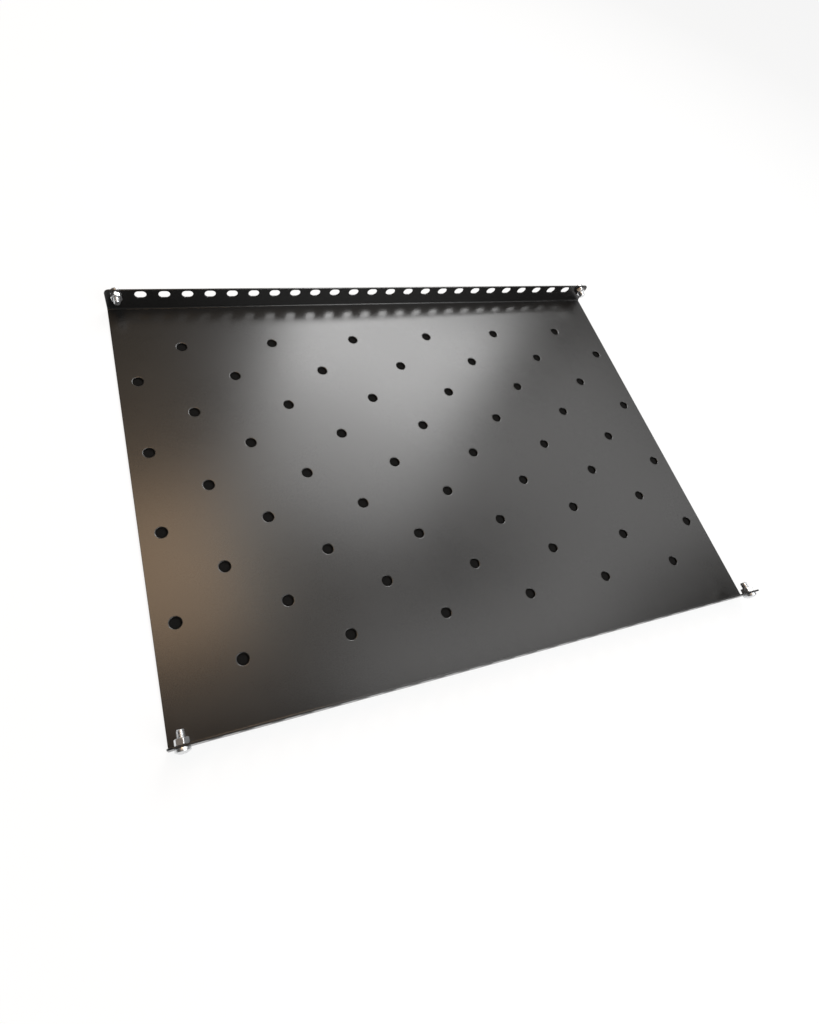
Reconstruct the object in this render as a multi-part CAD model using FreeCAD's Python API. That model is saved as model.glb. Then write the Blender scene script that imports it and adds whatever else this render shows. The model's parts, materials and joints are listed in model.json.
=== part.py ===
import FreeCAD, Part
import math
import os

from FreeCAD import Vector

# A nineteen-inch rack shelf: one folded, perforated sheet with slotted front and rear flanges,
# and a screw and nut in each of the four end slots. All sizes are in millimetres.
# X runs across the shelf, Y from front to rear and Z up from the underside of the deck.

# Outline of the shelf
rack_hole_spacing = 465.1    # centre to centre of the two end slots of a flange
end_margin = 8.75            # from an end slot's centre to the side edge
depth = 350.0                # outside of the front flange to outside of the rear one

# Folded sheet
sheet = 1.2
bend_radius = 1.5            # inside of each bend
slot_rise = 12.3             # from the top of a bend to the slots' centre line
slot_web = 1.8               # metal left above the slots
flange_corner_radius = 4.0

# Flange slots
slot_count = 26
slot_clearance = 1.4         # slot width over the screw
slot_travel = 2.8            # slot length over its width

# Staggered deck holes
hole_diameter = 8.0
column_pitch = 75.45
row_pitch = 32.7
side_land = 12.0             # least distance from a hole's centre to a side edge
flange_land = 35.0           # least distance from a hole's centre to the outside of a flange

# Pan-head screws
screw_diameter = 5.0
screw_length = 10.0          # below the head
screw_point = 0.6            # chamfer at the end of the thread
head_overhang = 2.25         # head radius over the shank's
head_rim = 2.1               # straight side of the head
head_crown = 1.6             # rise of the domed top
recess_span = 4.9
recess_wing = 1.3
recess_depth = 2.3
recess_taper = 0.6           # size of the recess at its bottom, over its size at the top

# Hexagon nuts
nut_wall = 1.5               # half the width across flats over the shank's radius
nut_height = 4.0
nut_turn = 15.0              # degrees from flats level
nut_face = 0.95              # diameter of the chamfered faces over the width across flats
nut_chamfer_angle = 30.0     # degrees
thread_clearance = 0.05      # nut bore over the shank, on the diameter

# Sizes that follow from those above
width = rack_hole_spacing + 2 * end_margin
bend_outside = bend_radius + sheet
slot_width = screw_diameter + slot_clearance
slot_length = slot_width + slot_travel
slot_pitch = rack_hole_spacing / (slot_count - 1)
slot_height = bend_outside + slot_rise
flange_height = slot_height + slot_width / 2 + slot_web
head_height = head_rim + head_crown
head_radius = screw_diameter / 2 + head_overhang
nut_across_flats = screw_diameter + 2 * nut_wall


def wire_of(segments):
    return Part.Wire([segment.toShape() for segment in segments])


def line(start, end):
    return Part.LineSegment(start, end)


def polygon_face(points):
    return Part.Face(Part.makePolygon(points + points[:1]))


def quarter_bend(centre, radius, start_angle):
    """A quarter circle in the YZ plane, from start_angle (degrees from +Y towards +Z) onwards."""
    points = []
    for step in (0, 45, 90):
        angle = math.radians(start_angle + step)
        points.append(centre + Vector(0, radius * math.cos(angle), radius * math.sin(angle)))
    return Part.Arc(*points)


def folded_blank():
    """The deck with its two upturned flanges, before any hole is punched."""
    rear = depth / 2
    x = -width / 2
    rear_centre = Vector(x, rear - bend_outside, bend_outside)
    front_centre = Vector(x, -rear + bend_outside, bend_outside)
    profile = wire_of([
        line(Vector(x, -rear, flange_height), Vector(x, -rear, bend_outside)),
        quarter_bend(front_centre, bend_outside, 180),
        line(Vector(x, -rear + bend_outside, 0), Vector(x, rear - bend_outside, 0)),
        quarter_bend(rear_centre, bend_outside, 270),
        line(Vector(x, rear, bend_outside), Vector(x, rear, flange_height)),
        line(Vector(x, rear, flange_height), Vector(x, rear - sheet, flange_height)),
        line(Vector(x, rear - sheet, flange_height), Vector(x, rear - sheet, bend_outside)),
        quarter_bend(rear_centre, bend_radius, 270),
        line(Vector(x, rear - bend_outside, sheet), Vector(x, -rear + bend_outside, sheet)),
        quarter_bend(front_centre, bend_radius, 180),
        line(Vector(x, -rear + sheet, bend_outside), Vector(x, -rear + sheet, flange_height)),
        line(Vector(x, -rear + sheet, flange_height), Vector(x, -rear, flange_height)),
    ])
    blank = Part.Face(profile).extrude(Vector(width, 0, 0))
    return blank.makeFillet(flange_corner_radius, flange_corners(blank))


def flange_corners(blank):
    """The four short edges at the ends of the flanges' tops."""
    corners = []
    for edge in blank.Edges:
        middle = edge.CenterOfMass
        at_end = math.isclose(abs(middle.x), width / 2, abs_tol=1e-6)
        at_top = math.isclose(middle.z, flange_height, abs_tol=1e-6)
        if at_end and at_top:
            corners.append(edge)
    return corners


def deck_hole_centres():
    """Rows of holes centred on the deck, each second row one longer and shifted by half a pitch."""
    row_count = 1 + math.floor((depth - 2 * flange_land) / row_pitch)
    long_count = 1 + math.floor((width - 2 * side_land) / column_pitch)
    centres = []
    for row in range(row_count):
        count = long_count if row % 2 else long_count - 1
        y = (row - (row_count - 1) / 2) * row_pitch
        for column in range(count):
            centres.append(Vector((column - (count - 1) / 2) * column_pitch, y, 0))
    return centres


def deck_hole(centre):
    return Part.makeCylinder(hole_diameter / 2, sheet, centre)


def slot_positions():
    return [(index - (slot_count - 1) / 2) * slot_pitch for index in range(slot_count)]


def flange_slot(x):
    """A round-ended slot through both flanges at once."""
    radius = slot_width / 2
    half_travel = slot_travel / 2
    y = -depth / 2
    left = Vector(x - half_travel, y, slot_height)
    right = Vector(x + half_travel, y, slot_height)
    up = Vector(0, 0, radius)
    outward = Vector(radius, 0, 0)
    outline = wire_of([
        line(left + up, right + up),
        Part.Arc(right + up, right + outward, right - up),
        line(right - up, left - up),
        Part.Arc(left - up, left - outward, left + up),
    ])
    return Part.Face(outline).extrude(Vector(0, depth, 0))


def shelf_pan():
    cutters = [deck_hole(centre) for centre in deck_hole_centres()]
    cutters += [flange_slot(x) for x in slot_positions()]
    return folded_blank().cut(cutters)


def cross_outline(span, wing, y):
    """The outline of a cross recess, seen along the screw."""
    half_span = span / 2
    half_wing = wing / 2
    quadrant = [(half_span, half_wing), (half_wing, half_wing), (half_wing, half_span)]
    points = []
    for quarter in range(4):
        turn = math.radians(90 * quarter)
        for a, b in quadrant:
            x = a * math.cos(turn) - b * math.sin(turn)
            z = a * math.sin(turn) + b * math.cos(turn)
            points.append(Vector(x, y, z))
    return Part.makePolygon(points + points[:1])


def cross_recess():
    bottom = recess_depth - head_height
    top = cross_outline(recess_span, recess_wing, -head_height)
    narrow = cross_outline(recess_span * recess_taper, recess_wing * recess_taper, bottom)
    return Part.makeLoft([top, narrow], True, True)


def pan_head_screw():
    """A screw along +Y, with the underside of its head at the origin."""
    shank = screw_diameter / 2
    dome_radius = (head_radius ** 2 + head_crown ** 2) / (2 * head_crown)
    halfway = math.asin(head_radius / dome_radius) / 2
    dome_middle = Vector(
        dome_radius * math.sin(halfway),
        dome_radius * (1 - math.cos(halfway)) - head_height,
        0,
    )
    crown_top = Vector(0, -head_height, 0)
    rim_top = Vector(head_radius, -head_rim, 0)
    rim_bottom = Vector(head_radius, 0, 0)
    neck = Vector(shank, 0, 0)
    point_start = Vector(shank, screw_length - screw_point, 0)
    point_edge = Vector(shank - screw_point, screw_length, 0)
    point_centre = Vector(0, screw_length, 0)
    profile = wire_of([
        Part.Arc(crown_top, dome_middle, rim_top),
        line(rim_top, rim_bottom),
        line(rim_bottom, neck),
        line(neck, point_start),
        line(point_start, point_edge),
        line(point_edge, point_centre),
        line(point_centre, crown_top),
    ])
    turned = Part.Face(profile).revolve(Vector(0, 0, 0), Vector(0, 1, 0), 360)
    return turned.cut(cross_recess())


def hexagon_nut():
    """A nut along +Y, with its seat at the origin."""
    corner = nut_across_flats / 2 / math.cos(math.radians(30))
    corners = []
    for side in range(6):
        angle = math.radians(60 * side + nut_turn)
        corners.append(Vector(corner * math.cos(angle), 0, corner * math.sin(angle)))
    prism = polygon_face(corners).extrude(Vector(0, nut_height, 0))
    bore = (screw_diameter + thread_clearance) / 2
    face_radius = nut_face * nut_across_flats / 2
    chamfer = (corner - face_radius) * math.tan(math.radians(nut_chamfer_angle))
    turned = polygon_face([
        Vector(bore, 0, 0),
        Vector(face_radius, 0, 0),
        Vector(corner, chamfer, 0),
        Vector(corner, nut_height - chamfer, 0),
        Vector(face_radius, nut_height, 0),
        Vector(bore, nut_height, 0),
    ]).revolve(Vector(0, 0, 0), Vector(0, 1, 0), 360)
    return prism.common(turned)


def at_end_slots(fastener, seat):
    """Four copies of a fastener in the end slots, seat inside the flanges' outer faces."""
    copies = []
    for x in (-rack_hole_spacing / 2, rack_hole_spacing / 2):
        front = fastener.copy()
        front.translate(Vector(x, seat - depth / 2, slot_height))
        rear = fastener.copy()
        rear.rotate(Vector(0, 0, 0), Vector(0, 0, 1), 180)
        rear.translate(Vector(x, depth / 2 - seat, slot_height))
        copies += [front, rear]
    return Part.makeCompound(copies)


def build():
    os.makedirs("parts", exist_ok=True)
    parts = {
        "shelf_pan": shelf_pan(),
        "corner_screws": at_end_slots(pan_head_screw(), 0),
        "corner_nuts": at_end_slots(hexagon_nut(), sheet),
    }
    for name, shape in parts.items():
        shape.exportStep(f"parts/{name}.step")


build()
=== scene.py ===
"""A nineteen-inch rack shelf: a folded, perforated sheet with slotted flanges and its corner fasteners.

All sizes are in metres. X runs across the shelf, Y from front to rear and Z up from the deck's underside.
"""
import json
import math

import bmesh
import bpy
from bpy.props import FloatProperty, FloatVectorProperty, IntProperty, PointerProperty
from mathutils import Matrix, Vector


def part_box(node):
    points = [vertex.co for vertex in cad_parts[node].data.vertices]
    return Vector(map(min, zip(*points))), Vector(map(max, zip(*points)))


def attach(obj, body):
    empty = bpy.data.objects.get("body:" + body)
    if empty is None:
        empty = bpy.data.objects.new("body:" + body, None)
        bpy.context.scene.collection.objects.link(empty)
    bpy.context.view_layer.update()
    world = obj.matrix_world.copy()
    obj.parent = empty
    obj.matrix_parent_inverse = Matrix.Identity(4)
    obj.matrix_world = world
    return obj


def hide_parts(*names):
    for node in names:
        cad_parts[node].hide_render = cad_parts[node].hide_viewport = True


bl_info = {
    "name": "Rack shelf",
    "version": (1, 0, 0),
    "blender": (4, 5, 0),
    "location": "View3D > Sidebar > Rack shelf",
    "description": "Builds a folded rack shelf, its corner fasteners and a small studio",
    "category": "Add Mesh",
}

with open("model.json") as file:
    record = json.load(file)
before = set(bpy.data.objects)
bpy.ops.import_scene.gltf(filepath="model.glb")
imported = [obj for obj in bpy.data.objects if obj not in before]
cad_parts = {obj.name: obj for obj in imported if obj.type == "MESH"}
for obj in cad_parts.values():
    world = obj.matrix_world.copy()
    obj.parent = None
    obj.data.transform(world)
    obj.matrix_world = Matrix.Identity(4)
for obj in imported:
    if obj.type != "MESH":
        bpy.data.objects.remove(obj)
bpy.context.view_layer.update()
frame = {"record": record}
pan_low, pan_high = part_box("shelf_pan")

MM = 0.001
WELD = 1e-6        # points nearer than this become one
FLAT = 0.99999     # least part of a face's normal along an axis that makes the face flat
LIP = "lip"        # attribute that marks the edge of an opening
WHITE = (1, 1, 1)
WARM_WHITE = (1, 0.67, 0.4)
COOL_WHITE = (0.7, 0.92, 1)
AMBER = (1, 0.58, 0.12)


def finish_colour(slot):
    """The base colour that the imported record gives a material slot."""
    for finish in frame["record"]["materials"]:
        if finish["slot"] == slot:
            return tuple(finish["base_color"])
    raise KeyError(slot)


def length(name, description, millimetres):
    """A length, its default given in millimetres and kept in metres."""
    return FloatProperty(
        name=name,
        description=description,
        default=millimetres * MM,
        min=0.0,
        precision=5,
        unit="LENGTH",
    )


def angle(name, description, degrees):
    """An angle, its default given in degrees and kept in radians."""
    return FloatProperty(
        name=name, description=description, default=math.radians(degrees), subtype="ANGLE"
    )


def colour(name, description, default):
    return FloatVectorProperty(
        name=name, description=description, default=default, min=0.0, soft_max=1.0, subtype="COLOR"
    )


def amount(name, description, default):
    return FloatProperty(name=name, description=description, default=default, min=0.0)


def count(name, description, default):
    return IntProperty(name=name, description=description, default=default, min=1)


class PanSettings(bpy.types.PropertyGroup):
    """The folded sheet and its coat."""

    width: length("Width", "Across the shelf, along the flanges", (pan_high.x - pan_low.x) / MM)
    depth: length(
        "Depth", "Outside of the front flange to outside of the rear one", (pan_high.y - pan_low.y) / MM
    )
    flange_height: length("Flange height", "Underside of the deck to the flange's top", pan_high.z / MM)
    sheet: length("Sheet", "Thickness of the sheet", 1.2)
    bend_radius: length("Bend radius", "Inside radius of the two bends", 1.5)
    corner_radius: length("Corner radius", "Rounding of the flanges' top corners", 4.0)
    rim: length("Rim", "Rounding of every cut edge", 0.25)
    collar: length("Collar", "Width of the band round each hole and slot that the punch draws down", 0.8)
    roll: length("Roll", "How far the punch draws the band down at the edge", 0.25)
    hole_diameter: length("Hole diameter", "Round holes in the deck", 8.0)
    column_pitch: length("Column pitch", "Centre to centre of the holes in a row", 75.45)
    row_pitch: length("Row pitch", "Centre to centre of the rows of holes", 32.7)
    long_row: count("Long row", "Holes in each second row; the others have one less", 7)
    long_rows: count("Long rows", "Number of long rows; there is one more short row", 4)
    slot_spacing: length("Slot spacing", "Centre to centre of a flange's two end slots", 465.1)
    slot_count: count("Slots", "Slots in each flange", 26)
    slot_width: length("Slot width", "Height of a slot", 6.4)
    slot_length: length("Slot length", "Slot from end to end, along the flange", 9.2)
    slot_height: length("Slot height", "Underside of the deck to the slots' middle", 15.0)
    bend_steps: count("Bend steps", "Faces round each bend", 30)
    round_steps: count("Round steps", "Edges round each hole and slot", 48)
    corner_steps: count("Corner steps", "Points round each top corner of the flanges", 12)
    coat: colour("Coat", "Colour of the powder coat", finish_colour("black_coat"))
    coat_roughness: amount("Coat roughness", "Satin of the powder coat", 0.28)


class FastenerSettings(bpy.types.PropertyGroup):
    """The screws and nuts in the four end slots, and their plating."""

    screw_diameter: length("Screw diameter", "Outside of the thread", 5.0)
    screw_length: length("Screw length", "Below the head", 10.0)
    screw_point: length("Screw point", "Chamfer at the screw's end", 0.6)
    thread_pitch: length("Thread pitch", "One turn of the thread", 0.8)
    thread_depth: length("Thread depth", "Crest to root", 0.49)
    head_diameter: length("Head diameter", "Across the screw's head", 9.5)
    head_rim: length("Head rim", "Straight side of the head", 2.1)
    head_crown: length("Head crown", "Rise of the domed top", 1.6)
    recess_span: length("Recess span", "Across the cross recess", 4.9)
    recess_wing: length("Recess wing", "Width of a wing of the cross recess", 1.3)
    recess_depth: length("Recess depth", "From the top of the head", 2.3)
    recess_taper: amount("Recess taper", "Size of the recess at its bottom, over its size at the top", 0.6)
    nut_width: length("Nut width", "Across the flats", 8.0)
    nut_height: length("Nut height", "Along the screw", 4.0)
    nut_turn: angle("Nut turn", "From corners level", 15.0)
    nut_face: amount("Nut face", "Diameter of the chamfered faces over the width across flats", 0.95)
    nut_bore: length("Nut bore", "Diameter of the threaded hole", 5.05)
    zinc: colour("Zinc", "Colour of the bright plating", finish_colour("zinc"))
    zinc_roughness: amount("Zinc roughness", "Gloss of the bright plating", 0.36)


class StageSettings(bpy.types.PropertyGroup):
    """The camera, the lamps and the floor."""

    camera_place: FloatVectorProperty(
        name="Camera place",
        description="Where the camera stands",
        default=(-0.220, -0.195, 0.358),
        unit="LENGTH",
    )
    heading: angle("Heading", "Camera's turn from the shelf's depth towards its right", 42.117)
    tilt: angle("Tilt", "Camera's angle below the horizon", 61.864)
    roll: angle("Roll", "Camera's turn about its own line of sight", 29.357)
    focal_length: amount("Focal length", "Camera's lens, in millimetres", 18.697)
    shift: FloatVectorProperty(
        name="Shift",
        description="Camera's shift, over the picture's long side",
        default=(0.0578, 0.0175),
        size=2,
    )
    window: amount("Window", "Brightness of the large lamp behind the shelf", 10.7)
    window_edge: amount("Window edge", "Brightness of the strip at the large lamp's left edge", 19.5)
    upper_window: amount("Upper window", "Brightness of the lamp above the large one", 5.5)
    side: amount("Side lamp", "Brightness of the lamp on the right", 2.0)
    ceiling: amount("Ceiling lamp", "Brightness of the lamp overhead on the right", 2.5)
    warm: amount("Warm lamp", "Brightness of the warm lamp over the left side", 6.0)
    cool: amount("Cool lamp", "Brightness of the narrow cool lamp beside the warm one", 3.4)
    amber: amount("Amber lamp", "Brightness of the weak lamp behind the warm one", 0.3)
    front: amount("Front lamp", "Brightness of the lamp behind the camera", 6.4)
    room: amount("Room", "Brightness of the surroundings", 0.06)
    floor: colour("Floor", "Colour of the floor", (0.9, 0.9, 0.9))


class Wire:
    """An output socket of a node tree. Arithmetic on it adds Math nodes."""

    def __init__(self, graph, socket):
        self.graph = graph
        self.socket = socket

    def of(self, name):
        """Another output of the same node."""
        return Wire(self.graph, self.socket.node.outputs[name])

    def math(self, operation, *others):
        return self.graph.math(operation, self, *others)

    def __add__(self, other):
        return self.graph.math("ADD", self, other)

    def __radd__(self, other):
        return self.graph.math("ADD", other, self)

    def __sub__(self, other):
        return self.graph.math("SUBTRACT", self, other)

    def __rsub__(self, other):
        return self.graph.math("SUBTRACT", other, self)

    def __mul__(self, other):
        return self.graph.math("MULTIPLY", self, other)

    def __rmul__(self, other):
        return self.graph.math("MULTIPLY", other, self)

    def __truediv__(self, other):
        return self.graph.math("DIVIDE", self, other)

    def __rtruediv__(self, other):
        return self.graph.math("DIVIDE", other, self)

    def __abs__(self):
        return self.graph.math("ABSOLUTE", self)


class NodeGraph:
    """A node tree, filled in the order of the work."""

    def __init__(self, tree):
        self.tree = tree

    def add(self, kind, settings=None, sockets=None):
        """A new node's first output. Its settings come first, then the values or links of its sockets."""
        node = self.tree.nodes.new(kind)
        for name, value in (settings or {}).items():
            setattr(node, name, value)
        for name, value in (sockets or {}).items():
            self.feed(input_of(node, name), value)
        outputs = [socket for socket in node.outputs if socket.enabled]
        return Wire(self, outputs[0]) if outputs else None

    def feed(self, socket, value):
        """Sets a socket's value, or links a wire or a list of wires to it."""
        if isinstance(value, list):
            for wire in value:
                self.tree.links.new(wire.socket, socket)
        elif isinstance(value, Wire):
            self.tree.links.new(value.socket, socket)
        else:
            socket.default_value = value

    def math(self, operation, *operands):
        return self.add("ShaderNodeMath", {"operation": operation}, dict(enumerate(operands)))

    def vector(self, x, y, z):
        return self.add("ShaderNodeCombineXYZ", None, {"X": x, "Y": y, "Z": z})


def input_of(node, name):
    """A node's input by number, or the first one in use with that name."""
    if isinstance(name, int):
        return node.inputs[name]
    return next(socket for socket in node.inputs if socket.name == name and socket.enabled)


class GeometryGraph(NodeGraph):
    """A Geometry Nodes tree with named inputs and one result."""

    SOCKET_KINDS = {
        float: "NodeSocketFloat",
        int: "NodeSocketInt",
        bpy.types.Object: "NodeSocketObject",
        bpy.types.Material: "NodeSocketMaterial",
    }

    def __init__(self, name, inputs):
        super().__init__(bpy.data.node_groups.new(name, "GeometryNodeTree"))
        face = self.tree.interface
        for label, value in inputs.items():
            face.new_socket(label, in_out="INPUT", socket_type=self.SOCKET_KINDS[type(value)])
        face.new_socket("Geometry", in_out="OUTPUT", socket_type="NodeSocketGeometry")
        self.inputs = inputs
        self.entry = self.add("NodeGroupInput")

    def given(self, *labels):
        """The tree's own inputs with these names."""
        return [self.entry.of(label) for label in labels]

    def moved(self, geometry, place=(0, 0, 0), turn=(0, 0, 0)):
        return self.add(
            "GeometryNodeTransform", None, {"Geometry": geometry, "Translation": place, "Rotation": turn}
        )

    def joined(self, *geometries):
        return self.add("GeometryNodeJoinGeometry", None, {"Geometry": list(geometries)})

    def copies(self, shape, points, turn=(0, 0, 0)):
        """A copy of the shape on each point, as real geometry."""
        placed = self.add(
            "GeometryNodeInstanceOnPoints", None, {"Points": points, "Instance": shape, "Rotation": turn}
        )
        return self.add("GeometryNodeRealizeInstances", None, {"Geometry": placed})

    def place_of_point(self):
        """X, Y and Z of each point."""
        axes = self.add("ShaderNodeSeparateXYZ", None, {"Vector": self.add("GeometryNodeInputPosition")})
        return axes, axes.of("Y"), axes.of("Z")

    def ends(self, geometry):
        """Closes the tree: real geometry, in the finish that its input names."""
        real = self.add("GeometryNodeRealizeInstances", None, {"Geometry": geometry})
        painted = self.add(
            "GeometryNodeSetMaterial", None, {"Geometry": real, "Material": self.entry.of("Finish")}
        )
        self.add("NodeGroupOutput", None, {"Geometry": painted})

    def piece(self, name, *modifiers):
        """The tree's result, with further modifiers on it, as a new object with a plain mesh."""
        piece = bpy.data.objects.new(name, bpy.data.meshes.new(name))
        bpy.context.scene.collection.objects.link(piece)
        grown = piece.modifiers.new(self.tree.name, "NODES")
        grown.node_group = self.tree
        for item in self.tree.interface.items_tree:
            if item.in_out == "INPUT":
                grown[item.identifier] = self.inputs[item.name]
        made_plain(piece, *modifiers)
        piece.data.materials.clear()
        piece.data.materials.append(self.inputs["Finish"])
        return piece


def made_plain(piece, *modifiers):
    """Adds the modifiers, given as kind and settings, and turns the result into the object's own mesh."""
    for kind, settings in modifiers:
        modifier = piece.modifiers.new(kind.lower(), kind)
        for name, value in settings.items():
            setattr(modifier, name, value)
    depsgraph = bpy.context.evaluated_depsgraph_get()
    mesh = bpy.data.meshes.new_from_object(
        piece.evaluated_get(depsgraph), preserve_all_data_layers=True, depsgraph=depsgraph
    )
    mesh.name = piece.name
    piece.modifiers.clear()
    piece.data = mesh
    return piece


def rounded_edges(width, steps, limit):
    """A modifier that rounds every edge sharper than the limit."""
    return ("BEVEL", {
        "width": width, "segments": steps, "limit_method": "ANGLE", "angle_limit": math.radians(limit),
        "use_clamp_overlap": False, "offset_type": "OFFSET", "miter_outer": "MITER_SHARP",
    })


def flat_faces_kept(mesh, size):
    """Gives the points of the flat faces, on the deck, flanges and cut sides, those faces' normals."""
    bend_top = size.bend_radius + size.sheet
    side = size.width / 2
    normals = [Vector()] * len(mesh.vertices)
    for face in mesh.polygons:
        across, along, up = (abs(part) > FLAT for part in face.normal)
        on_flange = along and face.center.z > bend_top
        on_side = across and abs(face.center.x) > side - WELD
        if up or on_flange or on_side:
            for vertex in face.vertices:
                normals[vertex] = face.normal.copy()
    mesh.normals_split_custom_set_from_vertices(normals)


def hand_over(piece, node):
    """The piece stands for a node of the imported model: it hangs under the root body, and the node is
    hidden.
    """
    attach(piece, "root")
    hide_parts(node)


def folded_sheet_graph(size, finish):
    """The flat pattern of the shelf, given its thickness and then folded up at its two bends."""
    graph = GeometryGraph("Folded perforated sheet", {
        "Width": size.width, "Depth": size.depth, "Flange Height": size.flange_height,
        "Sheet": size.sheet, "Bend Radius": size.bend_radius, "Corner Radius": size.corner_radius,
        "Collar": size.collar, "Roll": size.roll,
        "Hole Diameter": size.hole_diameter, "Column Pitch": size.column_pitch,
        "Row Pitch": size.row_pitch, "Long Row": size.long_row, "Long Rows": size.long_rows,
        "Slot Spacing": size.slot_spacing, "Slots": size.slot_count, "Slot Width": size.slot_width,
        "Slot Length": size.slot_length, "Slot Height": size.slot_height,
        "Bend Steps": size.bend_steps, "Round Steps": size.round_steps,
        "Corner Steps": size.corner_steps, "Finish": finish,
    })
    width, depth, flange_height, sheet, bend_radius = graph.given(
        "Width", "Depth", "Flange Height", "Sheet", "Bend Radius"
    )
    bend_outside = bend_radius + sheet
    half_deck = depth / 2 - bend_outside
    bend_run = (bend_radius + sheet / 2) * (math.pi / 2)
    flange_run = flange_height - bend_outside
    flange = flat_flange(graph, bend_outside, flange_run)
    bend = graph.add("GeometryNodeMeshGrid", None, {
        "Size X": width, "Size Y": bend_run,
        "Vertices X": 2, "Vertices Y": graph.entry.of("Bend Steps") + 1,
    })
    half_turn = (0, 0, math.pi)
    at_bend = graph.vector(0, half_deck + bend_run / 2, 0)
    at_flange = graph.vector(0, half_deck + bend_run + flange_run / 2, 0)
    rear = graph.joined(graph.moved(bend, at_bend), graph.moved(flange, at_flange))
    flat = graph.joined(flat_deck(graph, half_deck), rear, graph.moved(rear, turn=half_turn))
    pattern = graph.add("GeometryNodeMergeByDistance", None, {"Geometry": flat, "Distance": WELD})
    blank = thickened(graph, pattern, sheet)

    x, along, level = graph.place_of_point()
    drawn = graph.add("GeometryNodeInputNamedAttribute", {"data_type": "FLOAT"}, {"Name": LIP})
    rise = level - drawn * level.math("GREATER_THAN", sheet / 2) * graph.entry.of("Roll")
    past_deck = abs(along) - half_deck
    share = (past_deck / bend_run).math("MAXIMUM", 0).math("MINIMUM", 1)
    turn = share * (math.pi / 2)
    radius = bend_outside - rise
    straight = (past_deck - bend_run).math("MAXIMUM", 0)
    reach = abs(along).math("MINIMUM", half_deck) + radius * turn.math("SINE")
    height = bend_outside - radius * turn.math("COSINE") + straight
    folded = graph.add("GeometryNodeSetPosition", None, {
        "Geometry": blank, "Position": graph.vector(x, along.math("SIGN") * reach, height),
    })
    cleaned = graph.add("GeometryNodeRemoveAttribute", None, {"Geometry": folded, "Name": LIP})
    smooth = graph.add("GeometryNodeSetShadeSmooth", None, {"Geometry": cleaned, "Shade Smooth": True})
    graph.ends(smooth)
    return graph


def flat_deck(graph, half_deck):
    """The deck between the bends, with its staggered holes."""
    width, diameter, column_pitch, row_pitch, long_row, long_rows, steps, band = graph.given(
        "Width", "Hole Diameter", "Column Pitch", "Row Pitch", "Long Row", "Long Rows",
        "Round Steps", "Collar",
    )
    hole = graph.add(
        "GeometryNodeCurvePrimitiveCircle", None, {"Resolution": steps, "Radius": diameter / 2 + band}
    )
    ring_of_faces = collar(graph, hole, band, travel=0.0)
    rows = []
    collars = []
    for columns, lines in ((long_row, long_rows), (long_row - 1, long_rows + 1)):
        centres = graph.add("GeometryNodeMeshGrid", None, {
            "Size X": (columns - 1) * column_pitch, "Size Y": (lines - 1) * (row_pitch * 2),
            "Vertices X": columns, "Vertices Y": lines,
        })
        rows.append(graph.copies(hole, centres))
        collars.append(graph.copies(ring_of_faces, centres))
    edge = graph.add(
        "GeometryNodeCurvePrimitiveQuadrilateral", None, {"Width": width, "Height": half_deck * 2}
    )
    plain = graph.add("GeometryNodeFillCurve", None, {"Curve": graph.joined(edge, *rows)})
    return graph.joined(plain, *collars)


def collar(graph, opening, band, travel):
    """A band of faces inside the outline of a round or round-ended opening, its inner edge marked."""
    loop = graph.add("GeometryNodeCurveToMesh", None, {"Curve": opening})
    x, y = graph.place_of_point()[:2]
    core = x.math("SIGN") * abs(x).math("MINIMUM", travel)
    to_core = graph.vector(core - x, 0 - y, 0)
    inward = graph.add("ShaderNodeVectorMath", {"operation": "NORMALIZE"}, {0: to_core})
    under = graph.add("GeometryNodeExtrudeMesh", {"mode": "EDGES"}, {
        "Mesh": loop, "Offset": inward, "Offset Scale": band,
    })
    marked = graph.add("GeometryNodeStoreNamedAttribute", {"data_type": "FLOAT", "domain": "POINT"}, {
        "Geometry": under, "Name": LIP, "Value": under.of("Top"),
    })
    return graph.add("GeometryNodeFlipFaces", None, {"Mesh": marked})


def flat_flange(graph, bend_outside, flange_run):
    """A flange laid flat, its bend at the bottom, with rounded top corners and its row of slots."""
    width, corner_radius, corner_steps, steps, band = graph.given(
        "Width", "Corner Radius", "Corner Steps", "Round Steps", "Collar"
    )
    spacing, slots, slot_width, slot_length, slot_height = graph.given(
        "Slot Spacing", "Slots", "Slot Width", "Slot Length", "Slot Height"
    )
    edge = graph.add(
        "GeometryNodeCurvePrimitiveQuadrilateral", None, {"Width": width, "Height": flange_run}
    )
    upper = graph.place_of_point()[1].math("GREATER_THAN", 0)
    outline = graph.add("GeometryNodeFilletCurve", {"mode": "POLY"}, {
        "Curve": edge, "Radius": corner_radius * upper, "Count": corner_steps, "Limit Radius": True,
    })
    half_step = math.pi / steps
    around = graph.add("GeometryNodeCurvePrimitiveCircle", None, {
        "Resolution": steps, "Radius": (slot_width / 2 + band) / half_step.math("COSINE"),
    })
    turned = graph.moved(around, turn=graph.vector(0, 0, half_step))
    x = graph.place_of_point()[0]
    travel = (slot_length - slot_width) / 2
    stretch = graph.vector(x.math("SIGN") * travel, 0, 0)
    slot = graph.add("GeometryNodeSetPosition", None, {"Geometry": turned, "Offset": stretch})
    middles = graph.add("GeometryNodeMeshGrid", None, {
        "Size X": spacing, "Size Y": 0.0, "Vertices X": slots, "Vertices Y": 1,
    })
    row = graph.moved(middles, graph.vector(0, slot_height - bend_outside - flange_run / 2, 0))
    edges = graph.joined(outline, graph.copies(slot, row))
    plain = graph.add("GeometryNodeFillCurve", None, {"Curve": edges})
    return graph.joined(plain, graph.copies(collar(graph, slot, band, travel), row))


def thickened(graph, pattern, sheet):
    """A flat pattern made a closed solid above it."""
    raised = graph.add("GeometryNodeExtrudeMesh", None, {
        "Mesh": pattern, "Offset": (0, 0, 1), "Offset Scale": sheet, "Individual": False,
    })
    under = graph.add("GeometryNodeFlipFaces", None, {"Mesh": pattern})
    return graph.add("GeometryNodeMergeByDistance", None, {
        "Geometry": graph.joined(raised, under), "Distance": WELD,
    })


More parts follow.
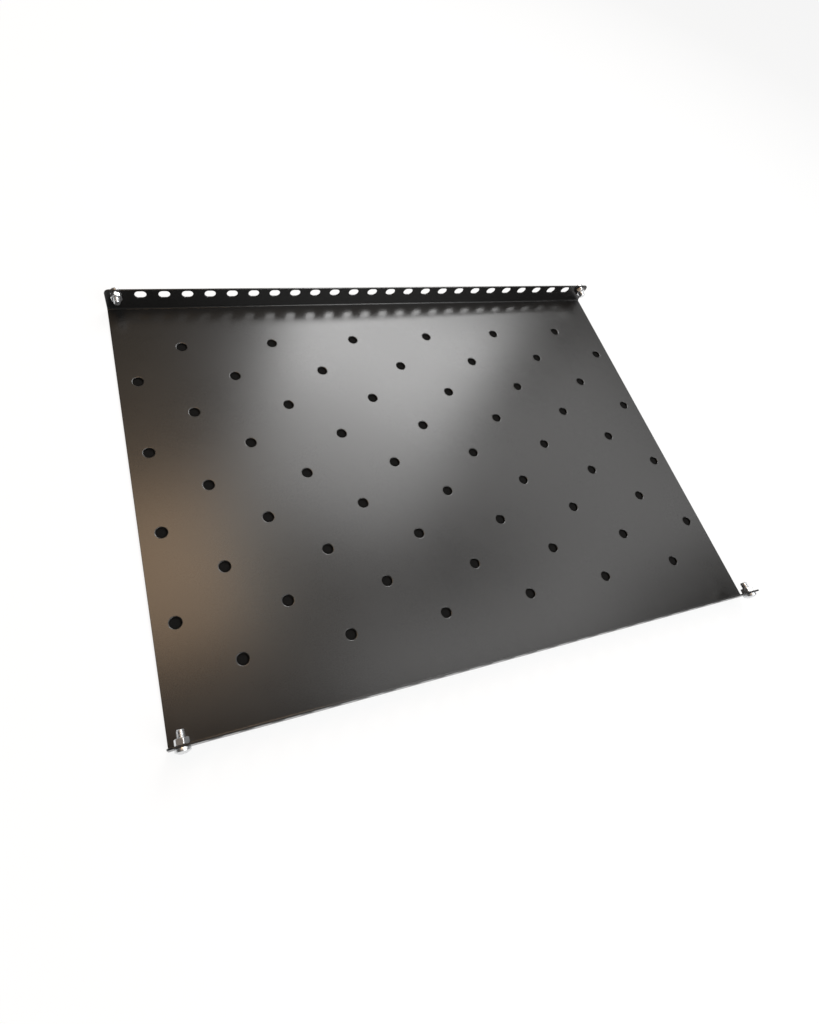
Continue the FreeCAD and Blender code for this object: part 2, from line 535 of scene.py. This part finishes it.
def corner_graph(name, fastener, finish, spacing, span, height):
    """A fastener in each of the four end slots, the rear ones turned round."""
    graph = GeometryGraph(name, {
        "Fastener": fastener, "Spacing": spacing, "Span": span, "Height": height, "Finish": finish,
    })
    shape, spacing, span, height = graph.given("Fastener", "Spacing", "Span", "Height")
    corners = graph.add("GeometryNodeMeshGrid", None, {
        "Size X": spacing, "Size Y": span, "Vertices X": 2, "Vertices Y": 2,
    })
    seats = graph.moved(corners, graph.vector(0, 0, height))
    rear = graph.place_of_point()[1].math("GREATER_THAN", 0)
    solid = graph.add("GeometryNodeObjectInfo", None, {"Object": shape}).of("Geometry")
    graph.ends(graph.copies(solid, seats, graph.vector(0, 0, rear * math.pi)))
    return graph


def ring_mesh(name, rings, closed):
    """An object from rings of points along Y: closed round on itself, or with a point at each end."""
    shape = bmesh.new()
    loops = [[shape.verts.new(point) for point in ring] for ring in rings]
    pairs = list(zip(loops, loops[1:]))
    if closed:
        pairs.append((loops[-1], loops[0]))
    for first, second in pairs:
        for index in range(len(first)):
            following = (index + 1) % len(first)
            shape.faces.new((first[index], first[following], second[following], second[index]))
    if not closed:
        for loop in (loops[0], loops[-1]):
            middle = sum((vertex.co for vertex in loop), Vector()) / len(loop)
            tip = shape.verts.new(middle)
            for index in range(len(loop)):
                shape.faces.new((loop[index], loop[(index + 1) % len(loop)], tip))
    bmesh.ops.recalc_face_normals(shape, faces=shape.faces)
    for face in shape.faces:
        face.smooth = True
    mesh = bpy.data.meshes.new(name)
    shape.to_mesh(mesh)
    shape.free()
    thing = bpy.data.objects.new(name, mesh)
    bpy.context.scene.collection.objects.link(thing)
    return thing


def ring(radius, y, columns):
    """Points round the Y axis. The radius is a number, or a function of the angle."""
    points = []
    for column in range(columns):
        turn = math.tau * column / columns
        reach = radius(turn) if callable(radius) else radius
        points.append(Vector((reach * math.cos(turn), y, reach * math.sin(turn))))
    return points


def arc(centre_radius, centre_y, radius, start, end, steps):
    """Radius and height along an arc of a turned profile, its angles in degrees from the Y axis."""
    profile = []
    for step in range(steps + 1):
        turn = math.radians(start + (end - start) * step / steps)
        profile.append((centre_radius + radius * math.sin(turn), centre_y - radius * math.cos(turn)))
    return profile


def screw_shape(size):
    """A pan-head screw along Y, the underside of its head at the origin, with a real thread."""
    columns = 48
    head_radius = size.head_diameter / 2
    head_height = size.head_rim + size.head_crown
    dome_radius = (head_radius ** 2 + size.head_crown ** 2) / (2 * size.head_crown)
    dome_end = math.degrees(math.asin(head_radius / dome_radius))
    edge = 0.5 * MM
    lower_edge = 0.25 * MM
    crown = arc(0, dome_radius - head_height, dome_radius, start=1.5, end=dome_end * 0.9, steps=10)
    crown_radius, crown_y = crown[-1]
    shoulder_turn = math.asin((crown_radius - head_radius + edge) / edge)
    shoulder_y = crown_y + edge * math.cos(shoulder_turn)
    shoulder = arc(
        head_radius - edge, shoulder_y, edge, start=math.degrees(shoulder_turn), end=90, steps=5
    )
    foot = arc(head_radius - lower_edge, -lower_edge, lower_edge, start=90, end=180, steps=4)
    rings = [ring(radius, y, columns) for radius, y in crown + shoulder[1:] + foot]
    crest = size.screw_diameter / 2
    rings.append(ring(crest - size.thread_depth, 0, columns))
    rows_per_turn = 12
    rows = round(size.screw_length / size.thread_pitch * rows_per_turn)
    for row in range(1, rows + 1):
        y = size.screw_length * row / rows
        rings.append(ring(lambda turn: thread_radius(size, crest, turn, y), y, columns))
    screw = ring_mesh("screw_blank", rings, closed=False)
    cutter = cross_cutter(size, head_height)
    made_plain(screw, ("BOOLEAN", {"operation": "DIFFERENCE", "object": cutter, "solver": "EXACT"}))
    bpy.data.objects.remove(cutter)
    crease = math.radians(40)
    screw.data.set_sharp_from_angle(angle=crease)
    return screw


def thread_radius(size, crest, turn, y):
    """The thread's surface: crests and roots with flats, running out at the point."""
    flank_slope = 4.6    # rise of a flank, in depths of the thread, over one pitch
    full_crest = 1.65    # height at which the flanks would meet, in depths of the thread
    share = (y / size.thread_pitch + turn / math.tau) % 1
    wave = min(1, max(0, full_crest - abs(share - 0.5) * flank_slope))
    root = crest - size.thread_depth
    tapered = crest - max(0, y - size.screw_length + size.screw_point)
    return min(root + size.thread_depth * wave, tapered)


def cross_cutter(size, head_height):
    """The tapering cross that is sunk in a screw's head. It goes on past the head by its overshoot."""
    overshoot = 0.4
    top = (1 + overshoot * (1 - size.recess_taper), -head_height - overshoot * size.recess_depth)
    bottom = (size.recess_taper, size.recess_depth - head_height)
    rings = []
    for scale, y in (top, bottom):
        span = size.recess_span / 2 * scale
        wing = size.recess_wing / 2 * scale
        points = []
        for quarter in range(4):
            turn = Matrix.Rotation(math.radians(90 * quarter), 3, "Y")
            for across, up in ((span, -wing), (span, wing), (wing, wing)):
                points.append(turn @ Vector((across, y, -up)))
        rings.append(points)
    return ring_mesh("cross_cutter", rings, closed=False)


def nut_shape(size):
    """A chamfered hexagon nut along Y, its seat at the origin."""
    columns = 60
    flat = size.nut_width / 2
    face = size.nut_face * flat
    bore = size.nut_bore / 2
    lead = 0.3 * MM
    edge = 0.09 * MM
    chamfer_slope = math.tan(math.radians(30))

    def side(turn):
        return flat / math.cos((turn - size.nut_turn) % (math.tau / 6) - math.tau / 12)

    lower_side = ring(side, 0, columns)
    upper_side = ring(side, size.nut_height, columns)
    for lower, upper in zip(lower_side, upper_side):
        chamfer = (math.hypot(lower.x, lower.z) - face) * chamfer_slope
        lower.y += chamfer
        upper.y -= chamfer
    rings = [
        ring(bore, lead, columns),
        ring(bore + lead, 0, columns),
        ring(face, 0, columns),
        lower_side,
        upper_side,
        ring(face, size.nut_height, columns),
        ring(bore + lead, size.nut_height, columns),
        ring(bore, size.nut_height - lead, columns),
    ]
    nut = ring_mesh("nut_blank", rings, closed=True)
    return made_plain(nut, rounded_edges(edge, steps=2, limit=24), ("WEIGHTED_NORMAL", {"weight": 100}))


def principled(name):
    """A new material: its graph, and the surface shader's inputs by name."""
    material = bpy.data.materials.new(name)
    material.use_nodes = True
    graph = NodeGraph(material.node_tree)
    shader = next(node for node in material.node_tree.nodes if node.type == "BSDF_PRINCIPLED")
    return material, graph, shader.inputs


def noise(graph, scale, detail, roughness=0.5):
    """Noise over the object's own coordinates; a scale of 1 is one spot to the metre."""
    return graph.add("ShaderNodeTexNoise", None, {
        "Vector": graph.add("ShaderNodeTexCoord").of("Object"),
        "Scale": scale, "Detail": detail, "Roughness": roughness,
    })


def mixed(graph, factor, first, second):
    """A colour between two, by a factor that varies over the surface."""
    return graph.add("ShaderNodeMix", {"data_type": "RGBA"}, {
        "Factor": factor, "A": (*first, 1), "B": (*second, 1),
    })


def scaled(shade, factor):
    return tuple(part * factor for part in shade)


def powder_coat(size):
    """Satin black powder coat: fine grain, slight orange peel, and a little drift in its gloss."""
    material, graph, surface = principled("black_powder_coat")
    grain = noise(graph, scale=2600, detail=2.0)
    peel = noise(graph, scale=620, detail=2.0)
    drift = noise(graph, scale=14, detail=3.0)
    shade = grain * 0.6 + drift * 0.4
    darkest = scaled(size.coat, 0.5)
    lightest = scaled(size.coat, 1.3)
    gloss_range = 0.05
    graph.feed(surface["Base Color"], mixed(graph, shade, darkest, lightest))
    graph.feed(surface["Roughness"], size.coat_roughness + (grain + drift - 1) * gloss_range)
    bump = graph.add("ShaderNodeBump", None, {
        "Strength": 0.16, "Distance": 0.03 * MM, "Height": peel * 0.7 + grain * 0.3,
    })
    graph.feed(surface["Normal"], bump)
    surface["IOR"].default_value = 1.5
    return material


def bright_zinc(size):
    """Bright zinc plate, made once: faint mottling, fine scratches and a little dulling."""
    name = "bright_zinc_plate"
    if name in bpy.data.materials:
        return bpy.data.materials[name]
    material, graph, surface = principled(name)
    mottle = noise(graph, scale=900, detail=3.0, roughness=0.6)
    scratch = noise(graph, scale=5200, detail=1.0)
    darkest = scaled(size.zinc, 0.82)
    lightest = scaled(size.zinc, 1.12)
    gloss_range = 0.14
    graph.feed(surface["Base Color"], mixed(graph, mottle, darkest, lightest))
    graph.feed(surface["Roughness"], size.zinc_roughness + (mottle - 0.5) * gloss_range)
    bump = graph.add("ShaderNodeBump", None, {
        "Strength": 0.12, "Distance": 0.01 * MM, "Height": scratch * 0.6 + mottle * 0.4,
    })
    graph.feed(surface["Normal"], bump)
    surface["Metallic"].default_value = 1.0
    return material


class ShelfPan(bpy.types.Operator):
    """Builds the folded, perforated sheet of the shelf"""

    bl_idname = "rack_shelf.pan"
    bl_label = "Folded pan"

    def execute(self, context):
        size = context.scene.shelf_pan
        graph = folded_sheet_graph(size, powder_coat(size))
        pan = graph.piece("folded_pan", rounded_edges(size.rim, steps=3, limit=50))
        flat_faces_kept(pan.data, size)
        hand_over(pan, "shelf_pan")
        return {"FINISHED"}


class CornerScrews(bpy.types.Operator):
    """Builds the pan-head screws in the four end slots"""

    bl_idname = "rack_shelf.screws"
    bl_label = "Corner screws"

    def execute(self, context):
        pan = context.scene.shelf_pan
        size = context.scene.shelf_fasteners
        blank = screw_shape(size)
        graph = corner_graph(
            "Screws in the end slots", blank, bright_zinc(size),
            pan.slot_spacing, pan.depth, pan.slot_height,
        )
        screws = graph.piece("pan_head_screws")
        bpy.data.objects.remove(blank)
        hand_over(screws, "corner_screws")
        return {"FINISHED"}


class CornerNuts(bpy.types.Operator):
    """Builds the hexagon nuts on the four screws"""

    bl_idname = "rack_shelf.nuts"
    bl_label = "Corner nuts"

    def execute(self, context):
        pan = context.scene.shelf_pan
        size = context.scene.shelf_fasteners
        blank = nut_shape(size)
        graph = corner_graph(
            "Nuts behind the end slots", blank, bright_zinc(size),
            pan.slot_spacing, pan.depth - 2 * pan.sheet, pan.slot_height,
        )
        nuts = graph.piece("hexagon_nuts")
        bpy.data.objects.remove(blank)
        hand_over(nuts, "corner_nuts")
        return {"FINISHED"}


class Studio(bpy.types.Operator):
    """Builds the floor, the lamps and the camera"""

    bl_idname = "rack_shelf.studio"
    bl_label = "Studio"

    def execute(self, context):
        scene = context.scene
        stage = scene.shelf_stage
        pan = scene.shelf_pan
        floor_side = 8.0
        floor_drop = 0.6 * MM
        shade_sheet_drop = 0.3 * MM
        shade_sheet_inset = 5 * MM
        camera(scene, stage)
        room(scene, stage)
        floor_plate("floor", floor_side, floor_side, -floor_drop, pale_floor(stage))
        # Painted shade: a dark sheet under the deck stands in for the shadow that the holes show.
        floor_plate("mat_under_deck", pan.width - shade_sheet_inset, pan.depth - shade_sheet_inset, -shade_sheet_drop, painted_shade_material())
        lamps(stage)
        scene.view_settings.view_transform = "Standard"
        return {"FINISHED"}


def lamps(stage):
    """Lamps on the walls, overhead and behind the camera."""
    window_left = 23
    window_low = 0.76
    window_high = 1.425
    walls = (
        ("window_lamp", (window_left, 47.75), (window_low, window_high), stage.window),
        ("window_edge_lamp", (20.2, window_left), (window_low, window_high), stage.window_edge),
        ("upper_window_lamp", (16.9, 52.7), (window_high, 2.48), stage.upper_window),
        ("side_lamp", (54.2, 81.3), (0.66, 1.55), stage.side),
    )
    for name, headings, heights, brightness in walls:
        wall_lamp(name, stage, headings, heights, brightness)
    overhead = (
        ("ceiling_lamp", (1.41, -0.15, 2.4), (1.86, 0.98), stage.ceiling, WHITE),
        ("warm_lamp", (-0.2925, 0.395, 1.2), (0.465, 0.51), stage.warm, WARM_WHITE),
        ("cool_lamp", (-0.015, 0.395, 1.2), (0.09, 0.51), stage.cool, COOL_WHITE),
        ("amber_lamp", (-0.28, 0.98, 1.2), (0.4, 0.66), stage.amber, AMBER),
    )
    for name, place, size, brightness, tint in overhead:
        ceiling_lamp(name, place, size, brightness, tint)
    far_flange = (-0.04, 0.175, 0.01)
    softbox("front_lamp", (0.50, -0.94, 1.03), far_flange, (0.9, 0.8), stage.front, WHITE)


def camera(scene, stage):
    """The camera, aimed by its heading, tilt and roll."""
    lens = bpy.data.cameras.new("camera")
    lens.lens = stage.focal_length
    lens.shift_x, lens.shift_y = stage.shift
    lens.clip_start = 10 * MM
    stand = bpy.data.objects.new("camera", lens)
    aim = Matrix.Rotation(-stage.heading, 3, "Z")
    aim = aim @ Matrix.Rotation(math.pi / 2 - stage.tilt, 3, "X")
    aim = aim @ Matrix.Rotation(stage.roll, 3, "Z")
    stand.location = stage.camera_place
    stand.rotation_euler = aim.to_euler()
    scene.collection.objects.link(stand)
    scene.camera = stand


def room(scene, stage):
    """Even, dim surroundings."""
    scene.world = bpy.data.worlds.new("room")
    scene.world.use_nodes = True
    sky = next(node for node in scene.world.node_tree.nodes if node.type == "BACKGROUND")
    sky.inputs["Color"].default_value = (1, 1, 1, 1)
    sky.inputs["Strength"].default_value = stage.room


def floor_plate(name, width, depth, height, material):
    """A flat sheet of the stage, centred under the shelf."""
    mesh = bpy.data.meshes.new(name)
    shape = bmesh.new()
    bmesh.ops.create_grid(shape, x_segments=1, y_segments=1, size=0.5)
    placed = Matrix.Translation((0, 0, height)) @ Matrix.Diagonal((width, depth, 1, 1))
    bmesh.ops.transform(shape, matrix=placed, verts=shape.verts)
    shape.to_mesh(mesh)
    shape.free()
    mesh.materials.append(material)
    plate = bpy.data.objects.new(name, mesh)
    bpy.context.scene.collection.objects.link(plate)


def pale_floor(stage):
    """Pale floor that reads white behind the shelf and keeps a faint shadow."""
    material, graph, surface = principled("pale_floor")
    whiteness = 0.88
    shade = noise(graph, scale=3, detail=2.0)
    darkest = scaled(stage.floor, 0.98)
    graph.feed(surface["Base Color"], mixed(graph, shade, darkest, stage.floor))
    surface["Roughness"].default_value = 0.9
    surface["Specular IOR Level"].default_value = 0.0
    seen = graph.add("ShaderNodeLightPath")
    glossy = seen.of("Is Glossy Ray")
    through = seen.of("Is Transmission Ray")
    white = graph.add("ShaderNodeEmission", None, {"Color": (1, 1, 1, 1), "Strength": 1.0})
    share = seen.of("Is Camera Ray").math("MAXIMUM", glossy).math("MAXIMUM", through) * whiteness
    output = next(node for node in material.node_tree.nodes if node.type == "OUTPUT_MATERIAL")
    plain = output.inputs["Surface"].links[0].from_socket
    both = graph.add("ShaderNodeMixShader", None, {0: share, 1: Wire(graph, plain), 2: white})
    graph.feed(output.inputs["Surface"], both)
    return material


def painted_shade_material():
    """Painted shade: a dark sheet just smaller than the deck, put under it where there is only shade, so
    that the holes read dark.
    """
    material, graph, surface = principled("dark_felt")
    # Faint random speckle over the painted shade sheet.
    shade_speckle = noise(graph, scale=1500, detail=3.0)
    darkest = scaled(WHITE, 0.004)
    lightest = scaled(WHITE, 0.012)
    graph.feed(surface["Base Color"], mixed(graph, shade_speckle, darkest, lightest))
    surface["Roughness"].default_value = 1.0
    surface["Specular IOR Level"].default_value = 0.0
    return material


def softbox(name, place, target, size, brightness, tint):
    """A rectangular lamp, which only lights and is reflected. Brightness 1 is as bright as white."""
    lamp = bpy.data.lights.new(name, "AREA")
    lamp.shape = "RECTANGLE"
    width, height = size
    lamp.size = width
    lamp.size_y = height
    lamp.energy = brightness * math.pi * width * height
    lamp.color = tint
    stand = bpy.data.objects.new(name, lamp)
    stand.location = place
    stand.rotation_euler = (Vector(target) - Vector(place)).to_track_quat("-Z", "Y").to_euler()
    stand.visible_camera = False
    bpy.context.scene.collection.objects.link(stand)


def ceiling_lamp(name, place, size, brightness, tint):
    """A lamp that faces straight down, its sides along X and Y."""
    below = (place[0], place[1], 0)
    softbox(name, place, below, size, brightness, tint)


def wall_lamp(name, stage, headings, heights, brightness):
    """An upright white lamp between two headings, in degrees from under the camera, and two heights."""
    distance = 1.5
    foot_x, foot_y = stage.camera_place[:2]
    left, right = (math.radians(heading) for heading in headings)
    middle = (left + right) / 2
    low, high = heights
    height = (low + high) / 2
    place = (foot_x + distance * math.sin(middle), foot_y + distance * math.cos(middle), height)
    size = (2 * distance * math.tan((right - left) / 2), high - low)
    softbox(name, place, (foot_x, foot_y, height), size, brightness, WHITE)


class ShelfPanel(bpy.types.Panel):
    """The shelf's pieces and their settings"""

    bl_idname = "VIEW3D_PT_rack_shelf"
    bl_label = "Rack shelf"
    bl_space_type = "VIEW_3D"
    bl_region_type = "UI"
    bl_category = "Rack shelf"

    def draw(self, context):
        for operator in operators:
            self.layout.operator(operator.bl_idname)
        for label in settings_groups:
            group = getattr(context.scene, label)
            box = self.layout.box()
            for name in group.__annotations__:
                box.prop(group, name)


settings_groups = {
    "shelf_pan": PanSettings, "shelf_fasteners": FastenerSettings, "shelf_stage": StageSettings,
}
operators = (ShelfPan, CornerScrews, CornerNuts, Studio)
classes = (*settings_groups.values(), *operators, ShelfPanel)


def register():
    for kind in classes:
        bpy.utils.register_class(kind)
    for label, kind in settings_groups.items():
        setattr(bpy.types.Scene, label, PointerProperty(type=kind))


def unregister():
    for label in settings_groups:
        delattr(bpy.types.Scene, label)
    for kind in reversed(classes):
        bpy.utils.unregister_class(kind)


def main():
    register()
    bpy.ops.rack_shelf.pan()
    bpy.ops.rack_shelf.screws()
    bpy.ops.rack_shelf.nuts()
    bpy.ops.rack_shelf.studio()


if __name__ == "__main__":
    main()
